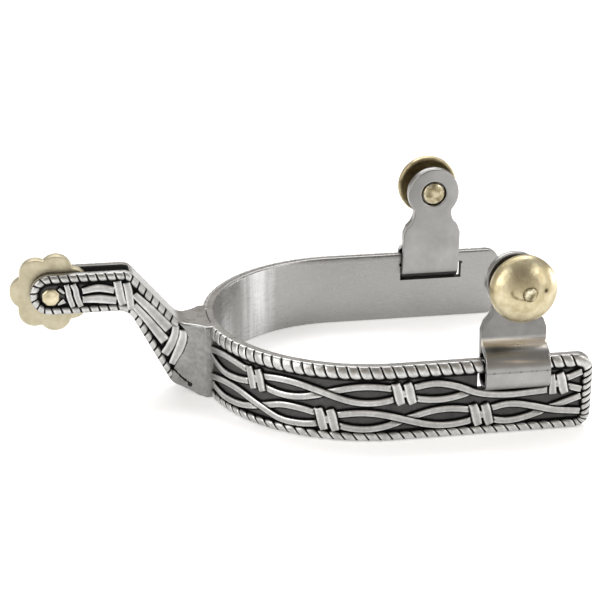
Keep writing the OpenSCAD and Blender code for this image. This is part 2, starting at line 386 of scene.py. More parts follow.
def wire(shell, surface, points, half, floor, top, over=None, step=0.4):
    """A raised wire with a soft flat top, between the depths floor and top. half is its half width, or its
    half widths at even steps. Beside the lines in over, which cross on top of it, it sinks and darkens.
    Returns its line."""
    path = Track(points)
    n = max(6, int(path.length / step))
    t = np.linspace(0, path.length, n)
    widths = np.broadcast_to(half, max(2, np.size(half)))
    half = np.interp(t, np.linspace(0, path.length, len(widths)), widths)
    centre, left = path.at(t)
    flat = centre[:, None] + left[:, None] * (half[:, None] * WIRE_U)[..., None]
    depth = np.tile(floor - (floor - top) * WIRE_RISE, (n, 1))
    shade = np.tile(WIRE_DARK, (n, 1))
    if over is not None:
        gap = gap_to(over, flat[..., 0].ravel(), flat[..., 1].ravel()).reshape(depth.shape)
        sink = 0.5 * (floor - top) * (1 - smooth_step(gap, -0.3, 1.1))
        depth = depth + sink * (WIRE_RISE > 0)
        shade = np.maximum(shade, 1 - smooth_step(gap, 0.08, 0.42))
    shell.add(*tube(surface(flat[..., 0], flat[..., 1], depth)), shade)
    inside = (t >= 0.8 * half) & (t <= path.length - 0.8 * half)
    return np.column_stack([centre, half])[inside]


def gap_to(points, x, z):
    """Distance from each (x, z) to the nearest of the raised lines given as rows of centre and half width."""
    out = np.empty(len(x))
    for i in range(0, len(x), 4000):
        dx = x[i:i + 4000, None] - points[None, :, 0]
        dz = z[i:i + 4000, None] - points[None, :, 1]
        out[i:i + 4000] = (np.sqrt(dx * dx + dz * dz) - points[None, :, 2]).min(1)
    return out


FLOOR_SHADE = 0.55                # of the sunk floors, away from the relief


def floor_shade(gap, near, far):
    """Shade of a sunk floor, black within near of the relief and its own grey beyond far."""
    return FLOOR_SHADE + (1 - FLOOR_SHADE) * (1 - smooth_step(gap, near, far))


# ---- materials
class Look:
    """The node tree of a material or world, with a short call for each kind of node."""

    def __init__(self, owner):
        owner.use_nodes = True
        self.owner, self.tree = owner, owner.node_tree

    def feed(self, socket, value):
        """Links the output of a node to the socket, or sets the socket to a constant."""
        if isinstance(value, bpy.types.NodeSocket):
            self.tree.links.new(value, socket)
        else:
            socket.default_value = value

    def node(self, kind, inputs=()):
        """A new node with the given (input, value) pairs."""
        node = self.tree.nodes.new("ShaderNode" + kind)
        for name, value in inputs:
            self.feed(node.inputs[name], value)
        return node

    def patina_and_painted_light(self):
        node = self.node("Attribute")
        node.attribute_name = EDGE_SHADE
        return node.outputs["Fac"]

    def noise(self, scale, detail, stretch=(1, 1, 1), rough=0.5):
        """Noise in object space, stretched along an axis by a small factor on it."""
        place = self.node("TexCoord").outputs["Object"]
        place = self.node("Mapping", [("Vector", place), ("Scale", stretch)]).outputs["Vector"]
        inputs = [("Vector", place), ("Scale", scale), ("Detail", detail), ("Roughness", rough)]
        return self.node("TexNoise", inputs).outputs["Fac"]

    def remap(self, value, to_low, to_high, low=0.3, high=0.7):
        """Carries low..high over to to_low..to_high. Noise mostly lies between 0.3 and 0.7."""
        names = ("Value", "From Min", "From Max", "To Min", "To Max")
        return self.node("MapRange", zip(names, (value, low, high, to_low, to_high))).outputs["Result"]

    def math(self, kind, a, b):
        node = self.node("Math", [(0, a), (1, b)])
        node.operation = kind
        return node.outputs[0]

    def ramp(self, value, stops):
        node = self.node("ValToRGB", [("Fac", value)])
        elements = node.color_ramp.elements
        while len(elements) < len(stops):
            elements.new(0.5)
        for element, (at, colour) in zip(elements, stops):
            element.position = at
            element.color = (*colour, 1)
        return node.outputs["Color"]

    def finish(self, colour, rough, metallic=1.0, bump=None, **more):
        """Sets the shader of a material, which is returned. bump is (height, strength, distance)."""
        values = {"Base Color": colour, "Roughness": rough, "Metallic": metallic, **more}
        if bump:
            node = self.node("Bump", zip(("Height", "Strength", "Distance"), bump))
            values["Normal"] = node.outputs["Normal"]
        for name, value in values.items():
            self.feed(self.tree.nodes["Principled BSDF"].inputs[name], value)
        return self.owner


def new_material(name):
    return Look(bpy.data.materials.new(name))


def antiqued_steel():
    """Cast steel: bright on top of the relief, dark patina in the hollows, and darker still where its patina
    attribute paints shade.
    """
    look = new_material("antiqued_steel")
    grain = look.noise(900, 5, rough=0.65)
    cloud = look.noise(160, 3)
    spread = look.math("ADD", look.remap(grain, -0.05, 0.05), look.remap(cloud, -0.04, 0.04))
    level = look.math("ADD", look.patina_and_painted_light(), spread)
    colour = look.ramp(level, [
        (0.0, (0.68, 0.68, 0.67)), (0.12, (0.43, 0.43, 0.42)), (0.3, (0.25, 0.25, 0.243)),
        (0.5, (0.085, 0.085, 0.084)), (0.7, (0.045, 0.045, 0.045)), (0.9, (0.002, 0.002, 0.002))])
    return look.finish(colour, look.remap(level, 0.30, 0.62, 0, 0.8), look.remap(level, 1.0, 0.35, 0.35, 0.9),
                       (grain, 0.25, 0.0002), **{"Specular IOR Level": 0.15})


def brushed_steel():
    """Satin steel of the smooth faces: fine lines along the band, and upright bright streaks: polish on the
    fork's top edges, with a painted highlight on the right one, and a painted reflection inside the heel.
    """
    look = new_material("brushed_steel")
    lines = look.noise(900, 4, stretch=(0.35, 0.35, 1.6), rough=0.7)
    streaks = look.noise(420, 3, stretch=(1, 1, 0.06), rough=0.6)
    cloud = look.noise(60, 4)
    # polish and painted light: the patina attribute brightens the streaks where a reflection or highlight is
    # painted
    polish_and_painted_light = look.math("MULTIPLY", look.patina_and_painted_light(), look.remap(streaks, 0.35, 0.85))
    tone = look.math("ADD", look.remap(lines, -0.06, 0.06), look.remap(cloud, 0.14, 0.26))
    colour = look.ramp(look.math("ADD", tone, polish_and_painted_light), [
        (0.04, (0.30, 0.295, 0.287)), (0.36, (0.37, 0.366, 0.358)), (0.95, (0.88, 0.89, 0.90))])
    return look.finish(colour, look.remap(lines, 0.24, 0.34), bump=(lines, 0.06, 0.0001))


def polished_steel():
    """Rolled strip of the hangers: near mirror, faint scratches, made brighter or darker by its patina
    attribute, which holds soot, wear, painted highlights and reflections, and painted shade.
    """
    look = new_material("polished_steel")
    lines = look.noise(500, 3, stretch=(1.5, 1.5, 0.05), rough=0.6)
    cloud = look.noise(110, 5, rough=0.6)
    level = look.math("ADD", look.remap(cloud, 0.2, 0.4), look.patina_and_painted_light())
    colour = look.ramp(level, [
        (0.0, (0.72, 0.66, 0.57)), (0.2, (0.385, 0.38, 0.373)), (0.4, (0.287, 0.284, 0.276)),
        (0.8, (0.10, 0.095, 0.09)), (1.0, (0.035, 0.035, 0.034))])
    rough = look.math("ADD", look.remap(cloud, 0.26, 0.34), look.remap(lines, -0.02, 0.04))
    return look.finish(colour, rough, bump=(lines, 0.05, 0.0001))


def brass(name, light, dark, rough, marks, scale):
    """Yellow brass. marks is how strong its dents and tarnish are, and scale how fine."""
    look = new_material(name)
    cloud = look.noise(scale, 5, rough=0.6)
    fine = look.noise(1400, 4, rough=0.6)
    level = look.math("ADD", look.remap(cloud, 0, 0.5 * marks, 0.35, 0.65), look.patina_and_painted_light())
    black = tuple(0.16 * c for c in dark)
    rough = look.math("ADD", look.remap(fine, -0.03, 0.04), look.remap(level, rough, rough + 0.3, 0, 1))
    height = look.math("ADD", cloud, look.math("MULTIPLY", fine, 0.12))
    return look.finish(look.ramp(level, [(0.0, light), (0.5, dark), (1.0, black)]), rough,
                       bump=(height, 0.3 * marks, 0.0006))


def soot_and_shade_steel():
    """Walls of the slots, black with old dirt and painted shade."""
    look = new_material("soot_and_shade_steel")
    grain = look.noise(700, 4, rough=0.6)
    colour = look.ramp(grain, [(0.3, (0.006, 0.006, 0.006)), (0.75, (0.05, 0.049, 0.047))])
    return look.finish(colour, look.remap(grain, 0.5, 0.8), 0.0, (grain, 0.3, 0.0002),
                       **{"Specular IOR Level": 0.2})


def pale_floor():
    return new_material("pale_floor").finish((0.90, 0.90, 0.90, 1), 0.9, 0.0, **{
        "Emission Color": (1, 1, 1, 1), "Emission Strength": 0.34})


RELIEF = antiqued_steel()
SATIN = brushed_steel()
SOOT_AND_SHADE = soot_and_shade_steel()
STRIP = polished_steel()
ROWEL_BRASS = brass("rowel_brass", (0.545, 0.497, 0.362), (0.43, 0.385, 0.262), 0.38, 0.6, 420)
BUTTON_BRASS = brass("button_brass", (0.67, 0.603, 0.415), (0.46, 0.39, 0.235), 0.27, 1.0, 260)
STUD_BRASS = brass("stud_brass", (0.82, 0.77, 0.60), (0.42, 0.36, 0.22), 0.24, 1.5, 520)
PIN_BRASS = brass("pin_brass", (0.70, 0.64, 0.46), (0.45, 0.39, 0.25), 0.30, 1.0, 520)


# ---- heel band
UPPER_Z, LOWER_Z = 13.0, 5.75     # middles of the two rows of wire
UPPER_BARBS, LOWER_BARBS = (30.2, 71.0, 111.4), (51.1, 91.6)
WIRE_HALF, WIRE_TOP = 0.92, 0.12
WRAP_HALF = (1.12, 1.27, 1.3, 1.27, 1.12)
FLOOR_TOP = 18.6                  # the sunk floor runs on behind the rope edging
EDGE_R = 0.55                     # rounded edges of the smooth inner face
SLOT_S = tuple(QUARTER + x for x in SLOT_X)
SLOT_ROWS = 15                    # rows of faces over the height of a slot
# rounding under the rail, inside: heights over the slot, and how far back the face is there and at its edge
RAIL_ROUND = ((0.8, 0.4, 0.12), (0.0, 0.107, 0.379, 0.8))


def span(start, end, zc, falling, bulge=1.4, steps=44):
    """One wire between two barbs. The falling wire bulges up first, the rising one down."""
    x = np.linspace(0, 1, steps)
    bow = 1.15 * np.cos(math.pi * x) + np.where(x < 0.5, bulge, 1.4) * np.sin(2 * math.pi * x)
    return np.column_stack([start + (end - start) * x, zc + (bow if falling else -bow)])


def band_wires(shell, barbs):
    """Both rows of twisted wire on the right side, under the barbs. Returns their lines."""
    lines = []

    def add(points, under=None, over=barbs):
        curve = spline(points) if isinstance(points, list) else points
        lines.append(wire(shell, wall_point, curve, WIRE_HALF, PANEL_DEPTH, WIRE_TOP, over))
        if under is not None:
            add(under, over=np.vstack([barbs, lines[-1]]))

    # upper row: a start at the yoke, a whole span, the span below the slot and the loose ends in front
    add([(7.5, 13.9), (12, 14.9), (18, 15.6), (24, 15.2), (29.2, 14.2)])
    add([(7.5, 13.0), (11, 11.9), (17, 10.7), (23, 10.9), (29.2, 11.9)])
    add(span(31.6, 69.6, UPPER_Z, True, 1.05), span(31.6, 69.6, UPPER_Z, False))
    rising = span(72.3, 109, UPPER_Z, False)
    add([(72.3, 14.2), (76, 15.0), (80, 15.2), (85, 14.0), (90, 12.0), (94, 11.15), (99, 10.8), (104, 11.0),
         (109.2, 11.3)], rising[rising[:, 0] < SLOT_S[0] - 0.7])
    add([(112.0, 13.2), (114.7, 14.5), (118.1, 15.8)])
    add([(112.0, 12.7), (114.7, 11.9), (118.1, 10.9)])
    # lower row
    add([(7.5, 5.9), (12, 7.2), (18, 8.1), (24, 7.8), (31.5, 5.8), (38, 3.8), (44, 3.7), (50, 4.6)],
        [(7.5, 5.2), (12, 4.2), (18, 3.6), (25, 4.1), (31.5, 5.8), (38, 7.8), (44, 7.9), (50, 6.9)])
    add(span(52.5, 90.2, LOWER_Z, True), span(52.5, 90.2, LOWER_Z, False))
    add([(93.0, 6.9), (97, 8.0), (101, 8.0), (106, 6.9), (111, 5.6), (118.1, 4.7)],
        [(93.0, 4.6), (97, 3.6), (101, 3.7), (106, 4.9), (110, 6.3), (118.1, 9.0)])
    return lines


def barb(shell, s, z, by_slot=False):
    """Two slanted wraps and the bar between them. by_slot narrows the left wrap, to clear the slot's end."""
    def add(points, half, top=0.0):
        return wire(shell, wall_point, np.array(points) + (s, z), half, PANEL_DEPTH, top, step=0.25)

    right = spline([(0.65, 2.85), (1.15, 1.5), (1.5, 0), (1.85, -1.5), (2.35, -2.85)], 6)
    lines = [add(right, WRAP_HALF), add([(-1.2, 0.0), (1.2, 0.0)], 1.1, 0.1)]
    if by_slot:
        left = spline([(-1.3, 2.6), (-1.2, 1.5), (-1.05, 0), (-1.0, -1.5), (-0.9, -2.85)], 6)
        return lines + [add(left, (0.7, 0.8, 0.85, 1.05, 1.1))]
    left = spline([(-2.4, 2.85), (-1.9, 1.5), (-1.5, 0), (-1.15, -1.5), (-0.7, -2.85)], 6)
    add([(-3.5, 2.75), (-2.1, 2.2)], (0.2, 0.75), 0.1)
    return lines + [add(left, WRAP_HALF)]


def band_rope(shell):
    """Twisted edging: forward along the top, down the branch end and back along the bottom."""
    start, front = 6.0, WALL_L - END_R
    top_line = [(s, BAND_H) for s in np.linspace(start, front, 300)]
    low_line = [(s, 0) for s in np.linspace(front, start, 300)]
    path = Track(np.vstack([top_line, arc((front, BAND_H - END_R), END_R, 90, 0, 16),
                            arc((front, END_R), END_R, 0, -90, 16), low_line]))
    top = front - start
    end = path.length - 2 * top
    low = top + end                # distance along the path at which the bottom edge starts

    def skew(t):
        return 1.7 + 0.7 * smooth_step(t, low - 4, low + 6)

    def widen(t):
        return 1.1 - 0.2 * smooth_step(t, top, top + 6) - 0.07 * smooth_step(t, low - 6, low)

    rope(shell, wall_point, path,
         profile=[(0, 1.5), (0, 1.25), (0.02, 1.0), (0.14, 0.72), (0.4, 0.46), (0.75, 0.26), (1.1, 0.12),
                  (1.6, 0.02), (2.15, 0.0), (2.6, 0.12), (2.95, 0.34), (3.15, 0.64), (3.22, 1.05)],
         groove=[0, 0.1, 0.3, 0.48, 0.55, 0.58, 0.6, 0.6, 0.55, 0.5, 0.4, 0.25, 0.05],
         # patina and painted shade: the first rows, on the rope's outer edge, are painted darker to tone down
         # their highlight; the last are patina where the rope meets the floor
         patina_and_painted_light=[0.16, 0.16, 0.13, 0.1, 0.07, 0.04, 0, 0, 0, 0.05, 0.5, 1, 1],
         hidden=[(2.3, 1.4), (0.9, 2.0), (0.25, 1.8)],
         pitches=[(top - 1.2, 2.95), (7.6, 7.6), (end - 6.4, 1.95), (top, 3.1)],
         skew=skew, end_from=1.9, widen=widen)


def band_columns():
    """Distances along the wall from the heel to the branch end."""
    step, front = 0.36, WALL_L - END_R
    cuts = [0, *SLOT_S, front]
    parts = [np.linspace(a, b, int((b - a) / step) + 1)[:-1] for a, b in zip(cuts, cuts[1:])]
    return np.concatenate(parts + [front + END_R * np.sin(np.linspace(0, math.pi / 2, 18))])


def band_section():
    """The wall's cross-section as (depth, height) points round it, from the foot of the sunk floor. Also the
    number of points on the floor, and where the slot on the floor, the rail and the slot inside begin."""
    slot = np.linspace(*SLOT_Z, SLOT_ROWS + 1)
    below = np.linspace(BAND_H - FLOOR_TOP, SLOT_Z[0], 34)[:-1]
    floor = np.concatenate([below, slot, np.linspace(SLOT_Z[1], FLOOR_TOP, 7)[1:]])
    rail = SLOT_Z[1] + np.array([2.0, *RAIL_ROUND[0]])
    low_wall = np.linspace(EDGE_R, SLOT_Z[0], 9)[1:-1][::-1]

    def upright(depth, heights):
        return np.column_stack([np.full(len(heights), depth), heights])

    under_rope = 1.5               # depth of the wall's edges, which the rope edging hides
    stretches = [
        upright(PANEL_DEPTH, floor),
        [(under_rope, BAND_H - 0.9), (under_rope, BAND_H), (2.0, BAND_H), (2.5, BAND_H)],
        arc((BAND_T - EDGE_R, BAND_H - EDGE_R), EDGE_R, 90, 0, 5), upright(BAND_T, rail),
        upright(BAND_T, slot[::-1]), upright(BAND_T, low_wall),
        arc((BAND_T - EDGE_R, EDGE_R), EDGE_R, 0, -90, 5),
        [(2.5, 0), (2.0, 0), (under_rope, 0), (under_rope, 0.9)]]
    begins = np.cumsum([0] + [len(points) for points in stretches])
    return np.vstack(stretches), len(floor), len(below), begins[3], begins[4]


def slot_lining(in_slot, size, outer, inner):
    """Faces that close the wall round the slots, whose first points are outer and inner on the two sides."""
    faces = []
    for first, last in np.flatnonzero(np.diff(np.r_[0, in_slot.astype(int), 0])).reshape(-1, 2):
        for column in (first, last):
            for k in range(SLOT_ROWS):
                o, i = column * size + outer + k, column * size + inner + SLOT_ROWS - k
                faces.append([o, o + 1, i - 1, i])
        for column in range(first, last):
            for row_o, row_i in ((outer, inner + SLOT_ROWS), (outer + SLOT_ROWS, inner)):
                o, i = column * size + row_o, column * size + row_i
                faces.append([o, o + size, i + size, i])
    return faces


def band_shade(s, z, d, floor_points, lines):
    """Dark floor, black beside the wires and under the rope edging, and a painted reflection inside the heel.
    """
    a, z = np.abs(np.broadcast_to(s[:, None], d.shape)).ravel(), z.ravel()
    on_floor = np.tile(np.arange(d.shape[1]) < floor_points, len(s))
    to_rope = np.min([z - 2.6, BAND_H - 3.5 - z, WALL_L - 2.8 - a], 0)
    gap = np.maximum(to_rope, 0)
    gap[on_floor] = np.minimum(gap[on_floor], gap_to(np.vstack(lines), a[on_floor], z[on_floor]))
    shade = np.where(on_floor, floor_shade(gap, 0.22, 0.62), 0.0)
    # painted reflection: the inside of the heel is painted brighter, in two upright bands
    inside = (d.ravel() > BAND_T - 0.2) & (np.abs(z - BAND_H / 2) < BAND_H / 2 - 0.3)
    return np.where(inside, np.maximum(0.66 * bell(a, 24.9, 4.6), 0.74 * bell(a, 41, 8.5)), shade)


def band_body(shell, lines):
    """The wall of the band as one closed mesh, with its sunk floor and both slots."""
    half = band_columns()
    s = np.concatenate([-half[:0:-1], half])
    section, floor_points, outer_slot, rail, inner_slot = band_section()
    columns, size = len(s), len(section)
    d = np.broadcast_to(section[:, 0], (columns, size))
    z = np.broadcast_to(section[:, 1], (columns, size))
    # the branch ends have round corners and a rounded inner edge
    a = np.abs(s)
    inset = END_R - np.sqrt(END_R ** 2 - np.clip(a - (WALL_L - END_R), 0, END_R) ** 2)
    trim = EDGE_R - np.sqrt(EDGE_R ** 2 - np.clip(a - (WALL_L - EDGE_R), 0, EDGE_R) ** 2)
    back = 2.4                     # depth behind which the inner edge's rounding starts
    z = inset[:, None] + z * (BAND_H - 2 * inset[:, None]) / BAND_H
    d = np.where(d > back, d - trim[:, None] * (d - back) / (BAND_T - back), d)
    over_slot = (a >= SLOT_S[0] - 1e-6) & (a <= SLOT_S[1] + 1e-6)
    for k, cut in enumerate(RAIL_ROUND[1]):
        d[over_slot, rail + 1 + k] -= cut
    verts, faces = tube(wall_point(np.broadcast_to(s[:, None], d.shape), z, d))
    in_slot = over_slot[:-1] & over_slot[1:]
    column, row = np.divmod(np.arange((columns - 1) * size), size)
    in_rows = [(row >= first) & (row < first + SLOT_ROWS) for first in (outer_slot, inner_slot)]
    solid = ~(in_slot[column] & (in_rows[0] | in_rows[1]))
    smooth = (row > floor_points) & (row < size - 2)
    lining = slot_lining(in_slot, size, outer_slot, inner_slot)
    kept = [face for face, keep in zip(faces[:-2], solid) if keep]
    # the slot walls take the black material, which paints their dirt and shade
    finish = smooth[solid].astype(int).tolist() + [2] * len(lining) + [1, 1]
    shell.add(verts, kept + lining + faces[-2:], band_shade(s, z, d, floor_points, lines), finish)


def barbed_wire(shell):
    lines = []
    for s in UPPER_BARBS:
        lines += barb(shell, s, UPPER_Z, by_slot=s > SLOT_S[1])
    for s in LOWER_BARBS:
        lines += barb(shell, s, LOWER_Z)
    return lines + band_wires(shell, np.vstack(lines))


def heel_band():
    lines = build_relief("band_barbed_wire", barbed_wire)
    build_relief("band_rope_edging", band_rope)
    wall = Shell()
    band_body(wall, lines)
    wall.build("band_wall", "heel_frame", [RELIEF, SATIN, SOOT_AND_SHADE], ["heel_band"], sharp=40)


# ---- shank
FORK_MID, FORK_HALF = PIN[2] + 0.5, 5.4
FORK_ROOT, FORK_GAP = -63.6, 4.0
SHANK_SINK = 0.8
# bends of the outline seen from the side: centre and radius of each
BEND_TOP, BEND_TOP_R = (-65.4, FORK_MID + FORK_HALF - 4), 4.0
BEND_LOW, BEND_LOW_R = (-67.0, FORK_MID - FORK_HALF - 4.6), 4.6
VALLEY, VALLEY_R = (-48.4, BAND_H + 4.2), 4.2
FOOT, FOOT_R = (-49.2, 7.4), 5.2
SIDE = np.vstack([
    arc((PIN[0], FORK_MID), FORK_HALF, 270, 90, 24), arc(BEND_TOP, BEND_TOP_R, 90, 45, 8),
    arc(VALLEY, VALLEY_R, 225, 270, 8), [(-40, BAND_H), (-40, 0), (-45.9, 0)],
    arc(FOOT, FOOT_R, 242, 212, 6), arc(BEND_LOW, BEND_LOW_R, 30, 90, 8)])
# the relief stops at a crescent edge where the smooth yoke begins
RELIEF_SIDE = np.vstack([
    [(-100, 45), (-51.7, 45), (-51.5, 22.5)],
    spline([(-51.0, 20.8), (-49.3, 18.4), (-48.8, 16.2), (-49.9, 12.8), (-52.4, 8.2)], 6),
    [(-53.2, 6.0), (-54.2, 4.4), (-54.2, -5), (-100, -5)]])
# a casting scratch on the yoke, and the pit at its end
SCRATCH, SCRATCH_R = [(-52.5, 7.6), (-50.6, 5.2), (-48.4, 3.3)], 0.16
PIT, PIT_R = (-48.2, 3.0), 0.36
# wraps and bars of the relief as (points, half widths)
CURVED_WIRES = (
    ([(-80.35, 33.4), (-79.95, 31.8), (-79.75, 30.3), (-79.35, 28.8), (-78.8, 27.1)],
     (0.72, 0.76, 0.72)),
    ([(-78.65, 33.4), (-77.95, 31.8), (-77.75, 30.3), (-77.35, 28.8), (-76.7, 27.1)],
     (0.78, 0.84, 0.78)),
    ([(-76.2, 31.35), (-72.0, 32.0), (-67.8, 31.1)], (0.85, 1.15, 1.0)),
    ([(-76.2, 29.0), (-72.0, 28.95), (-67.3, 28.2)], (0.95, 1.3, 1.15)),
    ([(-67.0, 33.6), (-66.6, 31.4), (-66.2, 29.0), (-65.6, 26.9)], (1.1, 1.2, 1.1)),
    ([(-64.6, 33.0), (-64.1, 30.8), (-63.8, 28.4), (-63.5, 25.4)], (1.05, 1.15, 1.0)),
    ([(-51.7, 20.0), (-52.1, 17.2), (-53.4, 14.2), (-54.9, 12.0)], (1.0, 1.25, 1.25)),
    ([(-49.8, 18.7), (-49.9, 16.4), (-51.0, 13.0), (-53.0, 9.0)], (1.0, 1.35, 1.3, 1.0)))
STRAIGHT_WIRES = (
    ([(-62.6, 29.6), (-58.5, 25.2), (-53.5, 19.2)], (0.95, 1.25, 1.5)),
    ([(-62.8, 26.6), (-59.2, 22.1), (-54.7, 15.8)], (0.95, 1.2, 1.45)),
    ([(-82.7, 27.95), (-80.95, 28.95)], (0.2, 0.72)),
    ([(-82.3, 32.35), (-80.95, 31.0)], (0.5, 0.3)))


def shank_field(x, y, z):
    """Distance to the shank: its side outline and thickness, less sunk relief, fork and marks."""
    out = np.abs(y) - shank_half(x)
    body = round_max(polygon_distance(x, z, SIDE), out, 0.7)
    sunk = round_max(polygon_distance(x, z, RELIEF_SIDE), -SHANK_SINK - out, 0.12)
    body = round_max(body, -sunk, 0.12)
    fork = np.maximum(x - FORK_ROOT, np.abs(y) - FORK_GAP / 2)
    body = round_max(body, -fork, 0.25)
    scratch = np.sqrt(line_distance(x, z, SCRATCH) ** 2 + out ** 2) - SCRATCH_R
    pit = np.sqrt((x - PIT[0]) ** 2 + (z - PIT[1]) ** 2 + out ** 2) - PIT_R
    body = np.maximum(body, -np.minimum(scratch, pit))
    seat = (OUTER_R - 1.4) - np.sqrt(x * x + y * y)      # reaches into the wall of the band
    return np.maximum(body, seat)


def shank_wires(shell):
    """Wraps and bars on the right face of the shank."""
    rows = [(spline(points), half) for points, half in CURVED_WIRES] + list(STRAIGHT_WIRES)
    return [wire(shell, shank_point, points, half, SHANK_SINK, 0.05, step=0.3) for points, half in rows]


def shank_rope(shell):
    """Twisted edging: back along the underside, round the fork's end and forward along the top."""
    rise = np.vstack([arc(FOOT, FOOT_R, 218, 212, 3), arc(BEND_LOW, BEND_LOW_R, 30, 90, 12)])
    fork = np.vstack([rise[-1:], arc((PIN[0], FORK_MID), FORK_HALF, 270, 90, 40),
                      arc(BEND_TOP, BEND_TOP_R, 90, 80, 2)])
    path = Track(np.vstack([rise, fork[1:], arc(BEND_TOP, BEND_TOP_R, 78, 45, 10),
                            arc(VALLEY, VALLEY_R, 225, 243, 4)]))
    lengths = [Track(rise).length, Track(fork).length]
    lengths.append(path.length - sum(lengths))
    rope(shell, shank_point, path,
         profile=[(0, 1.05), (0, 0.8), (0.04, 0.5), (0.2, 0.27), (0.5, 0.1), (0.9, 0.02), (1.35, 0.02),
                  (1.75, 0.12), (2.05, 0.32), (2.25, 0.58), (2.35, 0.86)],
         groove=[0, 0.2, 0.34, 0.42, 0.46, 0.48, 0.48, 0.44, 0.36, 0.2, 0.05],
         # patina and painted shade: the first rows, on the rope's outer edge, are painted darker to tone down
         # their highlight; the last are patina where the rope meets the floor
         patina_and_painted_light=[0.24, 0.22, 0.18, 0.12, 0.05, 0, 0.05, 0.25, 0.8, 1, 1],
         hidden=[(1.8, 1.2), (0.8, 1.5), (0.2, 1.3)],
         pitches=[(length, 2.5) for length in lengths],
         skew=lambda t: np.full(t.shape, 1.1), end_from=1.2)


def shank_shade(x, y, z, lines):
    """Dark floor of the relief, dirt and painted shade in the fork, dull yoke and black marks; elsewhere 0,
    which stays satin.
    """
    out = np.abs(y) - shank_half(x)
    sunk = (polygon_distance(x, z, RELIEF_SIDE) < 0.1) & (out > -SHANK_SINK - 0.25)
    to_rope = np.maximum(-polygon_distance(x[sunk], z[sunk], SIDE) - 2.3, 0)
    shade = np.zeros(len(x))
    shade[sunk] = floor_shade(np.minimum(gap_to(np.vstack(lines), x[sunk], z[sunk]), to_rope), 0.25, 0.7)
    into_gap = np.abs(y) - FORK_GAP / 2
    in_fork = (x < FORK_ROOT + 0.1) & (into_gap < 0.12)
    # painted shade with dirt: dark along the fork's inner top edges and darker inside the fork
    shade[(x < FORK_ROOT) & (into_gap < 0.36)] = 0.5
    shade[in_fork] = 0.72
    on_yoke = ~sunk & ~in_fork & (x > -57) & (out > -0.3)
    mark = np.minimum(np.hypot(x - PIT[0], z - PIT[1]), line_distance(x, z, SCRATCH) + 0.3)
    shade[on_yoke] = np.where(mark[on_yoke] < 0.5, 0.95, 0.26)
    return shade


def shank():
    lines = build_relief("shank_wraps", shank_wires)
    build_relief("shank_rope_edging", shank_rope)
    low, high = box_mm("shank")
    reach = 0.9                    # of the grid beyond the CAD shape; in front it goes on into the band
    verts, faces = surface_nets(shank_field, low - reach, high + (3.0, reach, reach), 0.3)
    x, y, z = verts.T
    shade = shank_shade(x, y, z, lines)
    satin = [int(shade[face].max() < 0.05) for face in faces]
    # the top edges of the fork are satin too, polished, with a painted highlight on the right side
    into_leg = np.abs(y) - FORK_GAP / 2
    lip = (x < FORK_ROOT + 2) & (z > FORK_MID) & (into_leg > 0.36) & (np.abs(y) < SHANK_HALF - SHANK_SINK)
    lip &= shade < 0.05
    shade[lip] = np.where(y[lip] < 0, 0.75, 0.2)
    body = Shell()
    body.add(verts, faces, shade, satin)
    body.build("shank_body", "heel_frame", [RELIEF, SATIN], ["shank"], recalc=False)


# ---- rowel and its pin
PETALS, PETAL_OUT, PETAL_R = 7, 6.36, 4.24       # how many, and how far out their centres are
FIRST_PETAL = math.radians(21.9)
ROWEL_BORE, ROWEL_BEVEL = 1.85, 0.28
PIN_R, PIN_HEAD_H = 1.8, 0.8
# half of the pin's head: (radius, part of the head's height), from the middle out
PIN_HEAD = ((0.8, 1.0), (1.5, 0.99), (2.0, 0.95), (2.25, 0.82), (2.45, 0.5), (2.6, 0.1), (2.58, -0.1))


def rowel_rim(turn):
    """Radius of the petalled outline at each angle, with the notches between the petals softened."""
    def petal(angle):
        inside = PETAL_R ** 2 - (PETAL_OUT * np.sin(angle)) ** 2
        reach = PETAL_OUT * np.cos(angle) + np.sqrt(np.maximum(inside, 0))
        return np.where((inside > 0) & (np.cos(angle) > 0), reach, 5.0)

    power = 34                     # the higher, the sharper the notches
    rim = sum(petal(turn - 2 * math.pi * k / PETALS) ** power for k in range(PETALS)) ** (1 / power)
    return np.minimum(rim, PETAL_OUT + PETAL_R)


def rowel():
    low, high = box_mm("rowel")
    half = (high[1] - low[1]) / 2
    turn = np.linspace(0, 2 * math.pi, PETALS * 44, endpoint=False)
    rim = rowel_rim(turn)
    # rows from the rim in to the bore: (part of the way out, inset of the bevel, height)
    rows = [(1, x - ROWEL_BEVEL, h) for x, h in arc((0, half - ROWEL_BEVEL), ROWEL_BEVEL, 0, 90, 4)]
    rows += [(f, 0, half) for f in (0.93, 0.8, 0.6, 0.4, 0.2, 0.06)] + [(0, 0, half - 0.15)]
    rows += [(f, inset, -h) for f, inset, h in rows[::-1]]
    angle = turn + FIRST_PETAL
    rings = []
    for f, inset, h in rows:
        edge = ROWEL_BEVEL + inset if f == 1 else 0
        r = ROWEL_BORE + (rim - ROWEL_BEVEL - ROWEL_BORE) * f + edge
        x, z = PIN[0] + r * np.cos(angle), PIN[2] + r * np.sin(angle)
        rings.append(np.stack([x, np.full(len(r), h), z], -1))
    rings = np.stack(rings, 1)
    index = np.arange(rings.size // 3).reshape(rings.shape[:2])
    after = np.roll(index, -1, 0)
    quads = np.stack([index, after, np.roll(after, -1, 1), np.roll(index, -1, 1)], -1).reshape(-1, 4)
    shell = Shell()
    shell.add(rings.reshape(-1, 3), quads.tolist())
    shell.build("rowel_wheel", "rowel", [ROWEL_BRASS], ["rowel"], sharp=50)


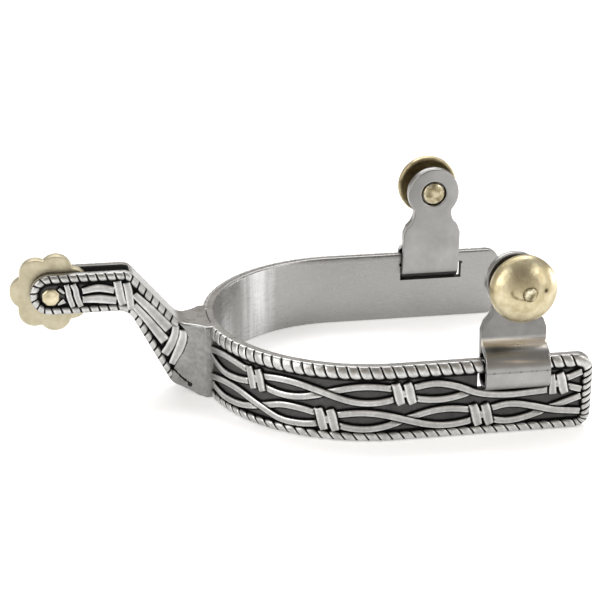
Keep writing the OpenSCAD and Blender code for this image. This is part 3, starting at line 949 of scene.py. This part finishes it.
def rowel_pin():
    half = SHANK_HALF - SHANK_SINK

    def hammered(turn):
        return 1 - 0.03 * (1 + np.cos(8 * turn)) - 0.012 * (1 + np.cos(3 * turn + 1))

    head = [(r, half + PIN_HEAD_H * h) for r, h in ((0, 1), *PIN_HEAD)] + [(PIN_R, half - 0.1)]
    verts, faces = lathe(head + [(r, -h) for r, h in head[::-1]], 64, hammered)
    verts = np.column_stack([verts[:, 0] + PIN[0], verts[:, 2], verts[:, 1] + PIN[2]])
    shell = Shell()
    shell.add(verts, faces)
    shell.build("rowel_pin_riveted", "heel_frame", [PIN_BRASS], ["rowel_pin"])


# ---- hangers and buttons, in hanger axes
STRIP_T = 1.3
LOOP_HALF, FOLD_DROP, FOLD_CORNER = 2.5, 2.3, 1.55
INNER_MID = -LOOP_HALF - STRIP_T / 2
UPPER_MID = INNER_MID + STRIP_T + 0.1
OUTER_MID = LOOP_HALF + STRIP_T / 2
PLATE_IN, PLATE_OUT = INNER_MID - STRIP_T / 2, UPPER_MID + STRIP_T / 2
BEND_Z = -1.1                      # where the outer leg starts to lean in over the rail
EYE_UP, EYE_R, HANGER_HALF, NECK_HALF = 21.4, 7.6, 8.6, 5.65
STUD_HOLE_R = 3.75
CAP_R, CAP_RISE, CAP_RIM, CAP_WALL = 8.7, 4.6, 2.0, 1.0
CAP_BACK = PLATE_OUT + 5.2
CAP_FRONT = CAP_BACK + CAP_RIM
CAP_APEX = CAP_FRONT + CAP_RISE
DOME_R = (CAP_R ** 2 + CAP_RISE ** 2) / (2 * CAP_RISE)
DOME_MID = CAP_APEX - DOME_R


def hanger_field():
    """Distance to the folded strip: two legs along their side lines, within its outline from the front."""
    top = EYE_UP + EYE_R + 2
    joggle = spline([(OUTER_MID, BEND_Z), (3.0, 0.3), (2.5, 1.75), (1.25, 3.1), (-0.55, 4.2), (-1.4, 5.15),
                     (-1.69, 6.1), (UPPER_MID, 7.0)], 6)
    corner = (OUTER_MID - FOLD_CORNER, FOLD_CORNER - FOLD_DROP - OUTER_MID)
    outer = np.vstack([[(0, -FOLD_DROP - OUTER_MID)], arc(corner, FOLD_CORNER, 270, 360, 8), joggle,
                       [(UPPER_MID, top)]])
    inner = np.vstack([[(INNER_MID, top)], arc((0, -FOLD_DROP), OUTER_MID, 180, 270, 12)])
    waist_r = 5.4
    side = np.vstack([[(HANGER_HALF, -8), (HANGER_HALF, 9)],
                      arc((NECK_HALF + waist_r, 15.6), waist_r, 232, 156, 14)])
    side = np.vstack([side, side[::-1] * (-1, 1)])

    def field(x, y, z):
        from_eye = np.sqrt(x * x + (z - EYE_UP) ** 2)
        outline = np.minimum(polygon_distance(x, z, side), from_eye - EYE_R)
        legs = [round_max(line_distance(y, z, line) - STRIP_T / 2, outline, 0.35) for line in (inner, outer)]
        hole = np.maximum(from_eye - STUD_HOLE_R, y - (PLATE_IN + STRIP_T))
        return round_max(np.minimum(*legs), -hole, 0.2)
    return field


def cap_profile():
    edge = math.degrees(math.asin(CAP_R / DOME_R))
    inner_r, lip_r = DOME_R - CAP_WALL, CAP_R - CAP_WALL
    inner_edge = math.degrees(math.asin(lip_r / inner_r))
    nearly = 90 - 0.01             # the arcs stop just short of the axis
    outer = arc((0, DOME_MID), DOME_R, nearly, 90 - edge, 26)
    blend = spline([outer[-3], (CAP_R - 0.05, CAP_FRONT - 0.25), (CAP_R, CAP_FRONT - 0.9)], 5)
    back = [(CAP_R, CAP_BACK + 0.3), (CAP_R - 0.12, CAP_BACK + 0.08), (CAP_R - 0.35, CAP_BACK),
            (lip_r + 0.25, CAP_BACK), (lip_r + 0.05, CAP_BACK + 0.1), (lip_r, CAP_BACK + 0.4)]
    inner = arc((0, DOME_MID), inner_r, 90 - inner_edge, nearly, 20)
    return np.vstack([[(0, CAP_APEX)], outer[1:-3], blend, back, inner[:-1], [(0, CAP_APEX - CAP_WALL)]])


def stud_profile():
    under = CAP_APEX - CAP_WALL
    head, hole, post = 3.25, 2.4, 3.0
    foot = [(0, -0.4), (0.9, -0.4), (1.8, -0.38), (2.5, -0.28), (3.0, -0.08), (head, 0.25)]
    tip = [(1.5, 0), (1.85, -0.1), (1.8, 0.12), (1.45, 0.28), (0.9, 0.22), (0.5, 0.1), (0, 0.12)]
    return [(r, PLATE_IN + h) for r, h in foot] + [
        (head, PLATE_OUT - STRIP_T - 0.05), (hole, PLATE_OUT - STRIP_T), (hole, PLATE_OUT), (post, PLATE_OUT),
        (post, under - 0.6), (1.5, under - 0.55)] + [(r, CAP_APEX + h) for r, h in tip]


def place(verts, side, joint, lean):
    """From hanger axes to the model's: side is -1 on the right and 1 on the left."""
    a = math.radians(lean)
    x, y, z = np.asarray(verts, float).T
    y, z = y * math.cos(a) - z * math.sin(a), y * math.sin(a) + z * math.cos(a)
    return np.column_stack([x, side * y, z]) + joint


def turned(profile, steps):
    """A lathe shape about the button's axis, in hanger axes."""
    verts, faces = lathe(profile, steps)
    return np.column_stack([verts[:, 0], verts[:, 2], verts[:, 1] + EYE_UP]), faces


def strip_shade(x, y, z):
    """Soot and painted shade in the loop, painted shade under the fold, a painted darker reflection on the
    upper leg, a worn crease and painted reflections on the bend.
    """
    # soot and painted shade: the inside of the loop is painted dark
    loop = (np.abs(y) < LOOP_HALF + 0.1) & (z > -5) & (z < 2.5)
    # painted shade: the inner half of the fold's underside is painted dark, where the slot's shade falls
    fold = smooth_step(-z, 3.6, 3.95) * smooth_step(-y, -0.6, 0.6)
    # painted reflection: the outer face of the upper leg is painted darker, as a reflection of darker
    # surroundings
    upper = smooth_step(z, 6.4, 7.4) * (y > UPPER_MID)
    crease = bell(z, BEND_Z, 0.16) * (y > LOOP_HALF + 0.4)
    worn = 0.3 + 0.35 * (np.sin(3.1 * x) * np.sin(1.3 * x + 1) > 0.55)
    # painted reflections: the bend is painted bright above, darker across its middle and bright again lower
    # down
    slant = z + 0.05 * x
    painted_highlight = smooth_step(slant, 3.9, 4.8) - smooth_step(slant, 5.9, 6.9)
    painted_highlight += bell(slant, 1.6, 0.4) * bell(x, 0, 6)
    painted_dark_band = smooth_step(slant, 2.0, 2.8) - smooth_step(slant, 3.6, 4.3)
    painted_reflection = np.where(y > PLATE_IN + STRIP_T + 0.05, 0.12 * painted_dark_band - 0.3 * painted_highlight, 0)
    return np.max([0.78 * fold, 0.8 * loop, 0.27 * upper, crease * worn], 0) + painted_reflection


def cap_shade(x, y, z):
    """The hollow, dull and with painted shade, and on the dome a scar, a dent and tarnish along part of the
    rim.
    """
    z = z - EYE_UP
    r, turn = np.hypot(x, z), np.arctan2(z, x)
    dome = DOME_MID + np.sqrt(np.maximum(DOME_R ** 2 - r ** 2, 0))
    hollow = (y < dome - 0.5) & (r < CAP_R - 0.3)
    scar = bell(np.hypot((x + 1.3) / 3.1, (z - 0.5) / 1.8), 1, 0.12)
    scar *= np.clip(0.6 + np.sin(2 * turn + 0.5), 0, 1)
    dent = bell(np.hypot(x - 4.4, z - 0.6), 0, 0.55)
    rust = smooth_step(r, CAP_R - 0.9, CAP_R - 0.1) * np.clip(np.cos(turn - 2.6), 0, 1)
    # painted shade: the hollow is painted dull and darker
    return np.where(hollow, 0.28, 0.5 * scar + 0.7 * dent + 0.3 * rust + 0.12 * (r < 2.0))


def stud_shade(x, y, z):
    """A dark line round the rivet's tip on the dome."""
    return np.where(y > CAP_APEX - 0.2, 0.5 * smooth_step(np.hypot(x, z - EYE_UP), 1.3, 1.8), 0.0)


def hangers():
    strip = surface_nets(hanger_field(), (-9.2, -4.6, -6.8), (9.2, 4.6, 29.6), 0.25)
    parts = (("strap_hanger", strip, strip_shade, STRIP, "polished_steel", "hanger"),
             ("dome_cap", turned(cap_profile(), 112), cap_shade, BUTTON_BRASS, "button_brass", "button_cap"),
             ("cap_stud", turned(stud_profile(), 64), stud_shade, STUD_BRASS, "stud_brass", "button_stud"))
    for name, side, lean in (("right", -1, 4), ("left", 1, 3)):
        joint = JOINTS[f"hanger_{name}_swing"]
        for part, (verts, faces), shade, material, slot, node in parts:
            shell = Shell()
            shell.add(place(verts, side, joint, lean), faces, shade(*verts.T))
            shell.build(f"{part}_{name}", f"hanger_{name}", [material], [f"{node}_{name}"])


# ---- floor, light and camera
def studio():
    mesh = bpy.data.meshes.new("studio_floor")
    r = 6.0
    mesh.from_pydata([(-r, -r, 0), (r, -r, 0), (r, r, 0), (-r, r, 0)], [], [(0, 1, 2, 3)])
    floor = bpy.data.objects.new("studio_floor", mesh)
    floor.location.z = cad_box[0].z - 0.0001
    mesh.materials.append(pale_floor())
    bpy.context.scene.collection.objects.link(floor)

    look = Look(bpy.data.worlds.new("studio_world"))
    split = look.node("SeparateXYZ", [("Vector", look.node("TexCoord").outputs["Generated"])])
    back = look.ramp(split.outputs["Z"], [
        (0.0, (0.9, 0.9, 0.9)), (0.12, (0.72, 0.68, 0.64)), (0.30, (0.55, 0.465, 0.375)),
        (0.48, (0.55, 0.54, 0.53)), (0.7, (0.7, 0.7, 0.72)), (1.0, (1.0, 1.0, 1.0))])
    front = look.ramp(split.outputs["Z"], [
        (0.0, (0.80, 0.77, 0.73)), (0.15, (0.68, 0.62, 0.54)), (0.45, (0.52, 0.46, 0.39)),
        (0.70, (0.35, 0.32, 0.29)), (0.86, (0.30, 0.28, 0.27)), (0.96, (0.62, 0.56, 0.50)),
        (1.0, (0.9, 0.86, 0.8))])
    mix = look.node("Mix")
    mix.data_type = "RGBA"
    look.feed(mix.inputs["Factor"], look.remap(split.outputs["Y"], 0, 1, -0.25, 0.25))
    look.feed(mix.inputs["A"], front)
    look.feed(mix.inputs["B"], back)
    background = look.tree.nodes["Background"]
    look.feed(background.inputs["Color"], mix.outputs["Result"])
    background.inputs["Strength"].default_value = 0.8
    bpy.context.scene.world = look.owner

    def area(name, place_at, size, power):
        light = bpy.data.lights.new(name, "AREA")
        light.shape, light.energy = "RECTANGLE", power
        light.size, light.size_y = size
        obj = bpy.data.objects.new(name, light)
        obj.location = place_at
        direction = Vector((0, 0, 0.01)) - Vector(place_at)
        obj.rotation_euler = direction.to_track_quat("-Z", "Y").to_euler()
        bpy.context.scene.collection.objects.link(obj)

    # name, place and size in metres, and power in watts
    area("softbox_top", (0.05, 0.75, 1.0), (1.3, 0.8), 11)
    area("softbox_left", (-0.9, -0.35, 0.55), (0.5, 0.9), 5)
    area("softbox_right", (0.8, -0.5, 0.6), (0.35, 0.8), 3)
    area("strip_front", (0.75, 0.16, 0.10), (0.10, 0.18), 1.2)
    bpy.context.scene.view_settings.view_transform = "Standard"


CAMERA_ANGLES = (-10.70, 20.67, 0.387)              # azimuth, elevation and roll, in degrees
CAMERA_PLACE = (-0.09914, -0.43454, 0.19029)        # in metres
CAMERA_LENS = 103.8


def camera():
    """Seen from the right and behind, a little above."""
    azimuth, elevation, roll = (math.radians(a) for a in CAMERA_ANGLES)
    back = Vector((math.sin(azimuth) * math.cos(elevation), -math.cos(azimuth) * math.cos(elevation),
                   math.sin(elevation)))
    right = Vector((math.cos(azimuth), math.sin(azimuth), 0))
    up = back.cross(right)
    across = right * math.cos(roll) + up * math.sin(roll)
    upward = up * math.cos(roll) - right * math.sin(roll)
    cam = bpy.data.cameras.new("camera")
    cam.sensor_width, cam.lens = 36, CAMERA_LENS
    cam.clip_start, cam.clip_end = 0.01, 50
    obj = bpy.data.objects.new("camera", cam)
    turn = Matrix((across, upward, back)).transposed().to_4x4()
    obj.matrix_world = Matrix.Translation(CAMERA_PLACE) @ turn
    bpy.context.scene.collection.objects.link(obj)
    bpy.context.scene.camera = obj


camera()
studio()
heel_band()
shank()
rowel()
rowel_pin()
hangers()
